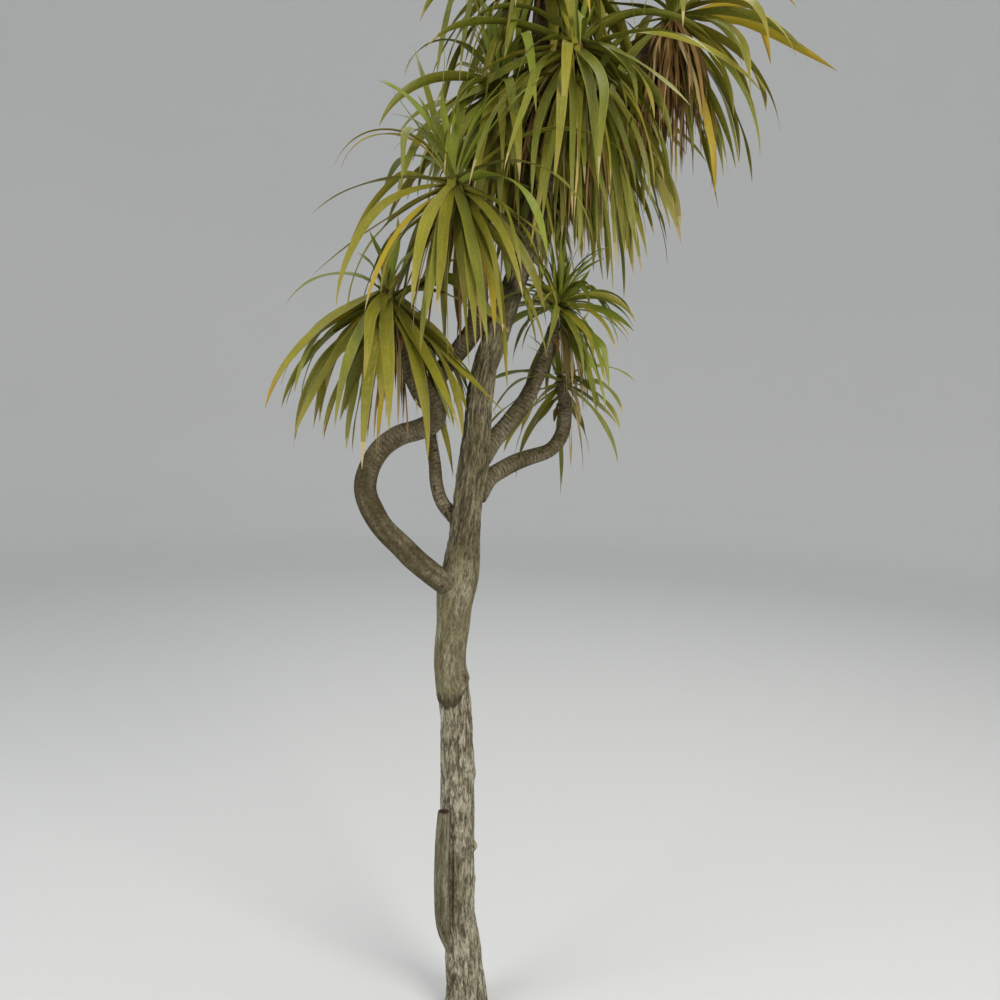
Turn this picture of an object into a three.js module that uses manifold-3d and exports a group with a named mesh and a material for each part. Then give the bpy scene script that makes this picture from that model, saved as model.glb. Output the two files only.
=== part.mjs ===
// A dragon blood tree grown as an ornamental: a leaning trunk, bent boughs and ten heads
// of long strap leaves. Millimetres, +Z up. The origin is the middle of the flat cut under
// the trunk, at ground level. X runs to the right and Y away from the side that shows the
// looped bough on its left.
import * as THREE from 'three';
import { mergeVertices } from 'three/addons/utils/BufferGeometryUtils.js';
import Module from 'manifold-3d';

const wasm = await Module();
wasm.setup();

// The clear space that two pieces keep where they meet
const MEETING_GAP = 0.3;
// How much thicker a cutting copy is at its corners, which leaves that gap at its faces
const CUTTER_GROWTH = 0.34;

// The trunk: [height, lean to the right, diameter] up the stem, from the flat foot to the fork.
// The swelling at 1120 is where the looped bough grows out.
const TRUNK_SIZES = [
  [0, 0, 108], [60, 1, 98], [125, -8, 90], [280, -26, 84], [600, -31, 83], [740, -37, 80],
  [894, -56, 75], [1010, -47, 82], [1120, -32, 87], [1250, -22, 72], [1415, -7, 70],
  [1500, -2, 67],
];
const TRUNK_RINGS = 15;
const TRUNK_SIDES = 12;
// How much closer the rings stand near the foot
const TRUNK_RING_CROWDING = 1.15;
// How deep the furrows between the root ridges are at the foot, and how high they reach
const FLARE_RIDGES = 5;
const FLARE_TURN = 0.6;
const FLARE_DEPTH = 0.1;
const FLARE_HEIGHT = 110;

// The boughs: [right, away, up] along the middle of each limb, and its diameter at both ends,
// or as rows of [share of its length, diameter] where it doesn't taper evenly. The left bough
// turns back on itself in a swollen knee, in front of the thin one, which bears the centre head.
const BOUGHS = {
  old_side_stem: {
    path: [[-61, -45, 532], [-64, -43, 430], [-63, -39, 310], [-55, -31, 220], [-36, -18, 158]],
    widths: [[0, 26], [0.1, 31], [0.4, 36], [0.8, 36], [1, 27]],
  },
  left_bough: {
    path: [
      [-38, -4, 1068], [-106, -30, 1115], [-175, -50, 1181], [-230, -60, 1244], [-258, -46, 1316],
      [-233, -22, 1393], [-186, -6, 1432], [-143, -8, 1446], [-109, -22, 1463], [-99, -40, 1496],
      [-124, -50, 1536], [-163, -60, 1601], [-191, -66, 1669], [-212, -70, 1772],
    ],
    widths: [
      [0, 56], [0.375, 54], [0.585, 50], [0.66, 54], [0.73, 64], [0.81, 46], [0.89, 48], [1, 42],
    ],
    splits: [0.375, 0.585],
    rings: [4, 3, 11],
    names: ['left_bough_lower', 'left_bough_bend', 'left_bough_upper'],
  },
  thin_left_bough: {
    path: [
      [-34, 12, 1226], [-85, 8, 1282], [-104, 30, 1370], [-117, 48, 1446], [-114, 56, 1522],
      [-90, 46, 1588], [-44, 26, 1643], [-11, 4, 1694], [-7, -24, 1766], [-18, -58, 1855],
      [-44, -88, 1927], [-67, -110, 2005],
    ],
    widths: [[0, 36], [0.2, 30], [0.29, 30], [0.45, 44], [0.75, 46], [1, 40]],
  },
  right_bough: {
    path: [
      [4, 24, 1392], [44, 50, 1435], [100, 70, 1506], [150, 88, 1610], [180, 98, 1700], [185, 100, 1772],
    ],
    thick: 46, thin: 30,
  },
  low_right_bough: {
    path: [
      [-4, 22, 1300], [36, 54, 1340], [114, 98, 1380], [178, 126, 1402], [206, 138, 1444],
      [212, 141, 1500], [200, 140, 1560], [195, 140, 1594],
    ],
    thick: 44, thin: 30, splits: [0.56],
    names: ['low_right_bough_base', 'low_right_bough_tip'],
  },
  upper_stem: {
    path: [[-2, 0, 1500], [12, 8, 1591], [44, 20, 1696], [85, 30, 1825], [122, 37, 1960], [159, 50, 2102]],
    thick: 66, thin: 48, levelStart: true,
  },
  top_left_bough: {
    path: [[128, 40, 2000], [97, 60, 2098], [58, 72, 2184], [29, 80, 2274]],
    thick: 36, thin: 28,
  },
  top_middle_bough: {
    path: [[157, 49, 2080], [172, 50, 2160], [192, 40, 2255], [204, 30, 2348]],
    thick: 34, thin: 28,
  },
  top_right_bough: {
    path: [[150, 52, 2062], [214, 80, 2160], [318, 94, 2276], [404, 88, 2366], [440, 80, 2430]],
    thick: 36, thin: 30,
  },
  back_left_bough: {
    path: [[100, 36, 1880], [112, 130, 1952], [92, 238, 2054], [72, 306, 2150], [66, 330, 2230]],
    thick: 36, thin: 28,
  },
  back_right_bough: {
    path: [[132, 42, 1996], [178, 140, 2060], [232, 252, 2130], [262, 314, 2196], [270, 332, 2250]],
    thick: 36, thin: 28,
  },
  summit_bough: {
    path: [[155, 50, 2088], [144, 96, 2230], [122, 122, 2400], [126, 122, 2520], [130, 120, 2590]],
    thick: 40, thin: 30,
  },
};
const BOUGH_SIDES = 7;
// A ring of so few sides is drawn this much wider, to hold as much as a round one
const RING_MAKE_UP = 1.03;
// How far the thickness of any limb wanders
const LIMB_UNEVENNESS = 0.05;
const RING_SPACING = 90;
// The collar where a bough grows out: how much thicker it is there, and how far that reaches
const COLLAR_SWELL = 0.14;
const COLLAR_REACH = 34;

// The heads: the bough that carries each, the length of its leaves, the height and spread of
// its upright young leaves, and the slopes in degrees at which the top and bottom layers of
// the hanging leaves leave the stem
const HEADS = {
  left_head: { bough: 'left_bough', leaf: 385, tall: 170, wide: 84, upper: 6, lower: -44 },
  centre_head: { bough: 'thin_left_bough', leaf: 430, tall: 250, wide: 120, upper: 20, lower: -40 },
  right_head: { bough: 'right_bough', leaf: 270, tall: 170, wide: 84, upper: 16, lower: -24 },
  low_right_head: { bough: 'low_right_bough', leaf: 250, tall: 90, wide: 46, upper: 0, lower: -56 },
  top_left_head: { bough: 'top_left_bough', leaf: 390, tall: 220, wide: 110, upper: 14, lower: -44 },
  top_middle_head: { bough: 'top_middle_bough', leaf: 440, tall: 210, wide: 110, upper: 6, lower: -48 },
  top_right_head: { bough: 'top_right_bough', leaf: 400, tall: 220, wide: 120, upper: 20, lower: -44 },
  back_left_head: { bough: 'back_left_bough', leaf: 410, tall: 210, wide: 110, upper: 18, lower: -40 },
  back_right_head: { bough: 'back_right_bough', leaf: 400, tall: 210, wide: 110, upper: 18, lower: -42 },
  summit_head: { bough: 'summit_bough', leaf: 440, tall: 280, wide: 130, upper: 24, lower: -38 },
};
// A crowded head reaches further out of the crown than into it, by this share of its leaves
const OUTWARD_REACH = 0.12;
const CROWN_MIDDLE = new THREE.Vector3(125, 130, 2200);
// The hanging leaves of a head: masses round the stem, and the opening between two of them
const SKIRTS = 3;
const SKIRT_OPENING = THREE.MathUtils.degToRad(9);
const SKIRT_STEPS_ACROSS = 6;
const SKIRT_STEPS_ALONG = 3;
// Where a skirt begins, inside the stem, where it leaves the foot of the upright leaves, and
// how thick it is there
const SKIRT_START = 8;
const SKIRT_NECK = 19;
const SKIRT_ROOT_DEPTH = 40;
const TIP_SLOPE = THREE.MathUtils.degToRad(-84);
// How much shorter the crown's edge is between two bunches of leaf tips
const NOTCH_DEPTH = 0.2;
const TIP_UNEVENNESS = 0.16;
// The least share of a mass that is still one of its own
const LEAST_SHARE = 0.26;
const TUFT_SIDES = 10;
const TUFT_STEPS = 3;
const TUFT_FOOT = 16;
// How a tuft widens upwards, how far its teeth fall back, and how uneven its side and rim are
const TUFT_FLARE = 0.8;
const TUFT_TOOTH = 0.26;
const TUFT_SIDE_UNEVENNESS = 0.28;
const TUFT_RIM_UNEVENNESS = 0.1;

// Where each kind of unevenness starts, so that the tree comes out the same every time
const SEEDS = { trunk: 11, limb: 100, tuft: 300, turn: 400, skirt: 500 };
// Corners closer than this are one corner
const SAME_CORNER = 1e-3;

const trunkBark = new THREE.MeshStandardMaterial({ color: 0xa39a8c, roughness: 0.9, metalness: 0 });
const boughBark = new THREE.MeshStandardMaterial({ color: 0x86796a, roughness: 0.85, metalness: 0 });
const strapLeaf = new THREE.MeshStandardMaterial({ color: 0x7f8a2b, roughness: 0.5, metalness: 0 });
const youngLeaf = new THREE.MeshStandardMaterial({ color: 0x6f9a33, roughness: 0.5, metalness: 0 });

// A repeatable stream of numbers from 0 to 1
function seededNumbers(seed) {
  let state = seed;
  return () => {
    state = (state * 1664525 + 1013904223) % 4294967296;
    return state / 4294967296;
  };
}

// One closed skin over loops of equal length, with its two ends closed by a fan from the
// middle, or by a strip between the two halves of the loop where it is a thin band
function skinOver(loops, endsAreBands) {
  const size = loops[0].length;
  const corners = loops.flat().map((corner) => corner.clone());
  const faces = [];
  for (let ring = 0; ring + 1 < loops.length; ring += 1) {
    for (let side = 0; side < size; side += 1) {
      const here = ring * size + side;
      const next = ring * size + ((side + 1) % size);
      faces.push([here, next, here + size], [next, next + size, here + size]);
    }
  }
  for (const [ring, order] of [[0, -1], [loops.length - 1, 1]]) {
    const first = ring * size;
    const cap = [];
    if (endsAreBands) {
      for (let side = 0; side + 1 < size / 2; side += 1) {
        const across = size - 1 - side;
        cap.push([side, side + 1, across], [side + 1, across - 1, across]);
      }
    } else {
      const middle = new THREE.Vector3();
      loops[ring].forEach((corner) => middle.addScaledVector(corner, 1 / size));
      corners.push(middle);
      const hub = corners.length - 1 - first;
      for (let side = 0; side < size; side += 1) cap.push([side, (side + 1) % size, hub]);
    }
    cap.forEach(([a, b, c]) => faces.push(order > 0 ? [first + a, first + b, first + c]
      : [first + b, first + a, first + c]));
  }
  const facesOutwards = enclosedVolume(corners, faces) > 0;
  const outward = facesOutwards ? faces : faces.map(([a, b, c]) => [b, a, c]);
  const places = new THREE.Float32BufferAttribute(corners.flatMap((p) => p.toArray()), 3);
  const geometry = new THREE.BufferGeometry();
  geometry.setAttribute('position', places);
  geometry.setIndex(outward.flat());
  return geometry;
}

function enclosedVolume(corners, faces) {
  return faces.reduce((sum, [a, b, c]) => (
    sum + corners[a].dot(new THREE.Vector3().crossVectors(corners[b], corners[c])) / 6), 0);
}

function solidOf(geometry) {
  const bare = geometry.clone();
  bare.deleteAttribute('normal');
  bare.deleteAttribute('uv');
  const merged = mergeVertices(bare, SAME_CORNER);
  return new wasm.Manifold(new wasm.Mesh({
    numProp: 3,
    vertProperties: new Float32Array(merged.getAttribute('position').array),
    triVerts: new Uint32Array(merged.getIndex().array),
  }));
}

function geometryOf(solid) {
  const mesh = solid.getMesh();
  const geometry = new THREE.BufferGeometry();
  geometry.setAttribute('position', new THREE.BufferAttribute(mesh.vertProperties, 3));
  geometry.setIndex(new THREE.BufferAttribute(mesh.triVerts, 1));
  return geometry;
}

function largestPart(solid) {
  return solid.decompose().reduce((best, part) => (part.volume() > best.volume() ? part : best));
}

function boxesMeet(first, second) {
  const a = first.boundingBox();
  const b = second.boundingBox();
  return [0, 1, 2].every((i) => a.min[i] <= b.max[i] && b.min[i] <= a.max[i]);
}

const tree = new THREE.Group();

function addMesh(name, solid, root, material) {
  const shape = geometryOf(solid).translate(-root.x, -root.y, -root.z);
  shape.computeVertexNormals();
  const mesh = new THREE.Mesh(shape, material);
  mesh.name = name;
  mesh.position.copy(root);
  tree.add(mesh);
}

const woodCutters = [];

// What is left of a solid clear of all the wood that is already there
function clearOfWood(solid) {
  return woodCutters.filter((cutter) => boxesMeet(cutter, solid))
    .reduce((rest, cutter) => rest.subtract(cutter), solid);
}

// Adds one limb from a function that gives its shape, grown by a clearance
function addWood(name, shapeGrownBy, root, material) {
  addMesh(name, largestPart(clearOfWood(solidOf(shapeGrownBy(0)))), root, material);
  woodCutters.push(solidOf(shapeGrownBy(CUTTER_GROWTH)));
}

// A value read between the rows of a short table whose first column rises
function between(rows, where, column) {
  const upper = Math.max(1, rows.findIndex((row) => row[0] >= where));
  const [low, high] = [rows[upper - 1], rows[upper]];
  const share = THREE.MathUtils.smoothstep(where, low[0], high[0]);
  return THREE.MathUtils.lerp(low[column], high[column], share);
}

// The trunk is a stack of level rings, ridged at the foot where the roots spread
function trunkShape(growth) {
  const uneven = seededNumbers(SEEDS.trunk);
  const height = TRUNK_SIZES[TRUNK_SIZES.length - 1][0];
  const loops = [];
  for (let ring = 0; ring <= TRUNK_RINGS; ring += 1) {
    const up = height * (ring / TRUNK_RINGS) ** TRUNK_RING_CROWDING;
    const loop = [];
    for (let side = 0; side < TRUNK_SIDES; side += 1) {
      const turn = (side / TRUNK_SIDES) * 2 * Math.PI;
      const ridge = FLARE_DEPTH * Math.exp(-up / FLARE_HEIGHT) * Math.cos(FLARE_RIDGES * turn + FLARE_TURN);
      const wander = LIMB_UNEVENNESS * (uneven() - 0.5);
      const bare = (between(TRUNK_SIZES, up, 2) / 2) * (1 + ridge + wander);
      const radius = bare + growth;
      const lean = between(TRUNK_SIZES, up, 1);
      const level = ring === TRUNK_RINGS ? up + growth : up;
      loop.push(new THREE.Vector3(lean + radius * Math.cos(turn), radius * Math.sin(turn), level));
    }
    loops.push(loop);
  }
  return skinOver(loops, false);
}

// How thick a limb is after a share of its length
function thicknessOf({ widths, thick, thin }, share) {
  return widths ? between(widths, share, 1) : THREE.MathUtils.lerp(thick, thin, share);
}

// One limb, or the stretch of it from one share of its length to another: rings square to its
// middle line, set closer where their number is given, as for a tight bend
function limbShape(bough, from, to, setRings, seed, growth) {
  const { path, levelStart } = bough;
  const points = path.map((point) => new THREE.Vector3(...point));
  const curve = new THREE.CatmullRomCurve3(points, false, 'centripetal');
  const length = curve.getLength();
  const rings = setRings ?? Math.max(3, Math.round(((to - from) * length) / RING_SPACING));
  const uneven = seededNumbers(seed);
  const shift = from > 0 || levelStart ? MEETING_GAP / length : 0;
  const loops = [];
  const side = new THREE.Vector3(1, 0, 0);
  for (let ring = 0; ring <= rings; ring += 1) {
    const share = THREE.MathUtils.lerp(from + shift, to, ring / rings);
    const along = levelStart && ring === 0 ? new THREE.Vector3(0, 0, 1) : curve.getTangentAt(share);
    const ends = { 0: -growth, [rings]: growth };
    const middle = curve.getPointAt(share).addScaledVector(along, ends[ring] ?? 0);
    side.addScaledVector(along, -side.dot(along)).normalize();
    const other = new THREE.Vector3().crossVectors(along, side);
    const collar = levelStart ? 0 : COLLAR_SWELL * Math.exp(-1 * ((share * length) / COLLAR_REACH) ** 2);
    const radius = (thicknessOf(bough, share) / 2) * (1 + collar);
    const loop = [];
    for (let step = 0; step < BOUGH_SIDES; step += 1) {
      const turn = (step / BOUGH_SIDES) * 2 * Math.PI;
      const reach = radius * (RING_MAKE_UP + LIMB_UNEVENNESS * (uneven() - 0.5)) + growth;
      loop.push(middle.clone()
        .addScaledVector(side, reach * Math.cos(turn))
        .addScaledVector(other, reach * Math.sin(turn)));
    }
    loops.push(loop);
  }
  return skinOver(loops, false);
}

// How far out and up a leaf has come after a share of its length: it leaves the stem at one
// slope and bends down evenly to the slope of its tip
function alongLeaf(length, slope, share) {
  const turn = TIP_SLOPE - slope;
  const here = slope + turn * share;
  return {
    out: (length / turn) * (Math.sin(here) - Math.sin(slope)),
    up: (length / turn) * (Math.cos(slope) - Math.cos(here)),
  };
}

// One mass of hanging leaves: a thick curved slab between its top and its bottom layer, with
// a notched lower edge
function skirtShape(head, hub, from, to, seed) {
  const uneven = seededNumbers(seed);
  const outward = Math.atan2(hub.y - CROWN_MIDDLE.y, hub.x - CROWN_MIDDLE.x);
  const sizes = [];
  for (let step = 0; step <= SKIRT_STEPS_ACROSS; step += 1) {
    const turn = THREE.MathUtils.lerp(from, to, step / SKIRT_STEPS_ACROSS);
    const notch = step % 2 === 0 ? NOTCH_DEPTH : 0;
    const reach = 1 + OUTWARD_REACH * Math.cos(turn - outward);
    sizes.push({ turn, length: head.leaf * reach * (1 - notch - TIP_UNEVENNESS * uneven()) });
  }
  const layers = [
    { slope: THREE.MathUtils.degToRad(head.upper), root: 0 },
    { slope: THREE.MathUtils.degToRad(head.lower), root: -SKIRT_ROOT_DEPTH },
  ];
  const loops = [];
  for (let step = -1; step <= SKIRT_STEPS_ALONG; step += 1) {
    const [top, bottom] = layers.map(({ slope, root }) => sizes.map(({ turn, length }) => {
      const { out, up } = alongLeaf(length, slope, Math.max(step, 0) / SKIRT_STEPS_ALONG);
      const ray = step < 0 ? SKIRT_START : SKIRT_NECK + out;
      return new THREE.Vector3(ray * Math.cos(turn), ray * Math.sin(turn), root + up).add(hub);
    }));
    loops.push([...top, ...bottom.reverse()]);
  }
  return skinOver(loops, true);
}

// The upright young leaves of a head: a goblet with a toothed rim
function tuftShape(head, hub, seed) {
  const uneven = seededNumbers(seed);
  const loops = [];
  for (let step = 0; step <= TUFT_STEPS; step += 1) {
    const share = step / TUFT_STEPS;
    const loop = [];
    for (let side = 0; side < TUFT_SIDES; side += 1) {
      const turn = (side / TUFT_SIDES) * 2 * Math.PI;
      const tooth = step === TUFT_STEPS && side % 2 === 0 ? TUFT_TOOTH : 0;
      const spread = share ** TUFT_FLARE * (1 + TUFT_SIDE_UNEVENNESS * (uneven() - 0.5));
      const ray = TUFT_FOOT + (head.wide - TUFT_FOOT) * spread;
      const up = MEETING_GAP + head.tall * share * (1 - tooth - TUFT_RIM_UNEVENNESS * uneven() * share);
      loop.push(new THREE.Vector3(ray * Math.cos(turn), ray * Math.sin(turn), up).add(hub));
    }
    loops.push(loop);
  }
  return skinOver(loops, false);
}

addWood('trunk', trunkShape, new THREE.Vector3(0, 0, 0), trunkBark);

const hubs = {};
Object.entries(BOUGHS).forEach(([name, bough], index) => {
  const ends = [0, ...(bough.splits ?? []), 1];
  const names = bough.names ?? [name];
  names.forEach((part, stretch) => {
    const seed = SEEDS.limb + 10 * index + stretch;
    const shapeGrownBy = (growth) => (
      limbShape(bough, ends[stretch], ends[stretch + 1], bough.rings?.[stretch], seed, growth));
    const foot = new THREE.Vector3(...bough.path[0]);
    const hasOldBark = name === 'old_side_stem' || name === 'upper_stem';
    addWood(part, shapeGrownBy, foot, hasOldBark ? trunkBark : boughBark);
  });
  hubs[name] = new THREE.Vector3(...bough.path[bough.path.length - 1]);
});

// Each head has its upright tuft and its skirts of hanging leaves
const heads = Object.entries(HEADS).map(([name, head], index) => {
  const hub = hubs[head.bough];
  const masses = [{ solid: solidOf(tuftShape(head, hub, SEEDS.tuft + index)), material: youngLeaf }];
  const first = seededNumbers(SEEDS.turn + index)() * 2 * Math.PI;
  for (let skirt = 0; skirt < SKIRTS; skirt += 1) {
    const from = first + (skirt * 2 * Math.PI) / SKIRTS;
    const to = from + (2 * Math.PI) / SKIRTS - SKIRT_OPENING;
    const shape = skirtShape(head, hub, from, to, SEEDS.skirt + 10 * index + skirt);
    masses.push({ solid: solidOf(shape), material: strapLeaf });
  }
  return { name, hub, leaf: head.leaf, masses };
});

function headsMeet(one, other) {
  return one.masses.some((mass) => other.masses.some((near) => (
    boxesMeet(mass.solid, near.solid) && mass.solid.intersect(near.solid).volume() > 0)));
}

// Two heads that grow into each other share the space at a plane between them
const borders = [];
heads.forEach((one, index) => heads.slice(index + 1).forEach((other) => {
  if (!headsMeet(one, other)) return;
  const way = other.hub.clone().sub(one.hub).normalize();
  const middle = one.hub.clone().lerp(other.hub, one.leaf / (one.leaf + other.leaf)).dot(way);
  borders.push({ head: one, way: way.clone().negate(), offset: MEETING_GAP / 2 - middle });
  borders.push({ head: other, way, offset: middle + MEETING_GAP / 2 });
}));
borders.forEach(({ head, way, offset }) => head.masses.forEach((mass) => {
  mass.trimmed = (mass.trimmed ?? mass.solid).trimByPlane(way.toArray(), offset);
}));

// A skirt that its neighbours have mostly taken over is left to them
heads.forEach(({ name, hub, masses }) => {
  const kept = masses.filter(({ solid, trimmed = solid }) => (
    trimmed.volume() > LEAST_SHARE * solid.volume()));
  kept.forEach(({ solid, trimmed = solid, material }, index) => {
    const label = index === 0 ? 'tuft' : `skirt_${index}`;
    addMesh(`${name}_${label}`, largestPart(clearOfWood(trimmed)), hub, material);
  });
});

export default tree;
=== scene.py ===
import math
import random

import bpy
import numpy as np
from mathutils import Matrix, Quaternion, Vector, noise


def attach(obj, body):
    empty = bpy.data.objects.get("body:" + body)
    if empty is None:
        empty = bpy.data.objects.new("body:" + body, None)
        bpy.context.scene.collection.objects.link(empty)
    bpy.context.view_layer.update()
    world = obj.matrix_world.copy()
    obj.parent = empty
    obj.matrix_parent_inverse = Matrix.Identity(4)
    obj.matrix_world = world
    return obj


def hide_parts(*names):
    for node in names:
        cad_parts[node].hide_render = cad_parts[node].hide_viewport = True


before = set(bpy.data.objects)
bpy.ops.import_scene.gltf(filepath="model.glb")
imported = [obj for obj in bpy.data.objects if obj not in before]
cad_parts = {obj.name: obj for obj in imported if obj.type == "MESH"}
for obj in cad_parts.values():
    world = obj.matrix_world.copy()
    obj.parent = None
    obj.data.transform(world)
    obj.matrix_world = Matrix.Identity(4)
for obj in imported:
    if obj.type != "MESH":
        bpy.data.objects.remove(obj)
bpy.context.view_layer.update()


# The camera stands at eye height, 2.2 m in front of the trunk. It looks down a little and
# is held slightly askew, so the tree leans to the left and its top leaves the picture.
CAMERA_PLACE = (0.055, -2.2344, 1.55)
CAMERA_LENS = 34.2
CAMERA_TILT = math.radians(90 - 6.72)
CAMERA_ROLL = math.radians(1.5)

bpy.ops.object.camera_add(location=CAMERA_PLACE)
camera = bpy.context.object
camera.data.sensor_width = 36
camera.data.lens = CAMERA_LENS
camera.rotation_mode = "QUATERNION"
camera.rotation_quaternion = (
    Quaternion((1, 0, 0), CAMERA_TILT) @ Quaternion((0, 0, 1), CAMERA_ROLL)
)
bpy.context.scene.camera = camera


# The studio is a pale floor that curves up into a pale wall all the way round. It is one
# sheet: a disc whose rim is drawn outwards and then upwards, step by step.
FLOOR_RADIUS = 6.0
FLOOR_DROP = 0.0015
WALL_STEPS = ((0.0, 1.16), (0.35, 1.1), (0.9, 1.06), (2.2, 1.02), (4.0, 1.0))

bpy.ops.object.select_all(action="DESELECT")
bpy.ops.mesh.primitive_circle_add(
    vertices=64, radius=FLOOR_RADIUS, fill_type="NGON", location=(0, 0, -FLOOR_DROP)
)
studio = bpy.context.object
studio.name = "studio"
bpy.ops.object.mode_set(mode="EDIT")
bpy.ops.mesh.select_mode(type="EDGE")
bpy.ops.mesh.region_to_loop()
for lift, widening in WALL_STEPS:
    bpy.ops.mesh.extrude_edges_move(TRANSFORM_OT_translate={"value": (0, 0, lift)})
    bpy.ops.transform.resize(value=(widening, widening, 1), center_override=(0, 0, 0))
bpy.ops.object.mode_set(mode="OBJECT")
bpy.ops.object.transform_apply(location=True)
bpy.ops.object.shade_smooth()

studio_paint = bpy.data.materials.new("studio_paint")
studio_paint.use_nodes = True
paint = studio_paint.node_tree.nodes["Principled BSDF"]
paint.inputs["Base Color"].default_value = (0.64, 0.64, 0.63, 1)
paint.inputs["Roughness"].default_value = 0.9
studio.data.materials.append(studio_paint)


# The light is soft daylight: a broad key from the upper right, a weaker one from the left,
# and one from above and behind that catches the upper sides of the leaves.
LIGHTS = (
    ("key", (2.7, -3.3, 3.4), 2.4, 165, (1.0, 0.97, 0.91)),
    ("side", (-3.6, -2.4, 2.9), 2.6, 95, (0.97, 0.98, 1.0)),
    ("above", (0.9, 2.0, 5.6), 2.2, 80, (1.0, 0.98, 0.93)),
)
LIGHT_AIM = Vector((0.1, 0.05, 1.5))

for name, place, size, power, colour in LIGHTS:
    bpy.ops.object.light_add(type="AREA", location=place)
    lamp = bpy.context.object
    lamp.name = name + "_light"
    lamp.rotation_euler = (LIGHT_AIM - Vector(place)).to_track_quat("-Z", "Y").to_euler()
    lamp.data.size = size
    lamp.data.energy = power
    lamp.data.color = colour
    lamp.visible_camera = False

sky = bpy.data.worlds.new("soft_sky")
sky.use_nodes = True
sky.node_tree.nodes["Background"].inputs["Color"].default_value = (0.90, 0.95, 1.0, 1)
sky.node_tree.nodes["Background"].inputs["Strength"].default_value = 0.62
bpy.context.scene.world = sky
bpy.context.scene.view_settings.view_transform = "Standard"


# The trunk is a slender stem that leans to the left and back again, and runs on above its
# fork as the leader. It bears no branches low down, is ridged at the foot where the roots
# spread, and is cased in old grey bark that cracks lengthwise. It is built ring by ring.
TRUNK_SIZES = (
    (0.0, 0.0, 0.108), (0.06, 0.001, 0.098), (0.125, -0.008, 0.090), (0.28, -0.026, 0.084),
    (0.60, -0.031, 0.083), (0.74, -0.037, 0.080), (0.894, -0.056, 0.075),
    (1.01, -0.047, 0.082), (1.12, -0.032, 0.087), (1.25, -0.022, 0.072),
    (1.415, -0.007, 0.070), (1.50, -0.002, 0.067),
)
LEADER_PATH = (
    (0.012, 0.008, 1.591), (0.044, 0.020, 1.696), (0.085, 0.030, 1.825),
    (0.122, 0.037, 1.960), (0.159, 0.050, 2.102),
)
LEADER_TIP = 0.048
TRUNK_RINGS = 0.028
TRUNK_SIDES = 16
ROOT_RIDGES = 5
ROOT_RIDGE_TURN = 0.6
ROOT_RIDGE_DEPTH = 0.1
ROOT_RIDGE_HEIGHT = 0.11
CUT_HEIGHT = 1e-4
FINE_STEPS = 40


def middle_line(points, spacing):
    """Places at an even spacing along the smooth line through some points."""
    points = [np.array(point, float) for point in points]
    points = [2 * points[0] - points[1], *points, 2 * points[-1] - points[-2]]
    fine = []
    for before, start, end, after in zip(points, points[1:], points[2:], points[3:]):
        gaps = [np.sqrt(np.linalg.norm(b - a))
                for a, b in ((before, start), (start, end), (end, after))]
        leave = ((start - before) / gaps[0] - (end - before) / (gaps[0] + gaps[1])
                 + (end - start) / gaps[1]) * gaps[1]
        arrive = ((end - start) / gaps[1] - (after - start) / (gaps[1] + gaps[2])
                  + (after - end) / gaps[2]) * gaps[1]
        for share in np.linspace(0, 1, FINE_STEPS, endpoint=False):
            square, cube = share ** 2, share ** 3
            fine.append((2 * cube - 3 * square + 1) * start + (cube - 2 * square + share) * leave
                        + (3 * square - 2 * cube) * end + (cube - square) * arrive)
    fine = np.array([*fine, points[-2]])
    run = np.concatenate([[0], np.cumsum(np.linalg.norm(np.diff(fine, axis=0), axis=1))])
    stops = np.linspace(0, run[-1], max(4, round(run[-1] / spacing) + 1))
    return stops, np.stack([np.interp(stops, run, fine[:, axis]) for axis in range(3)], 1)


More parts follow.
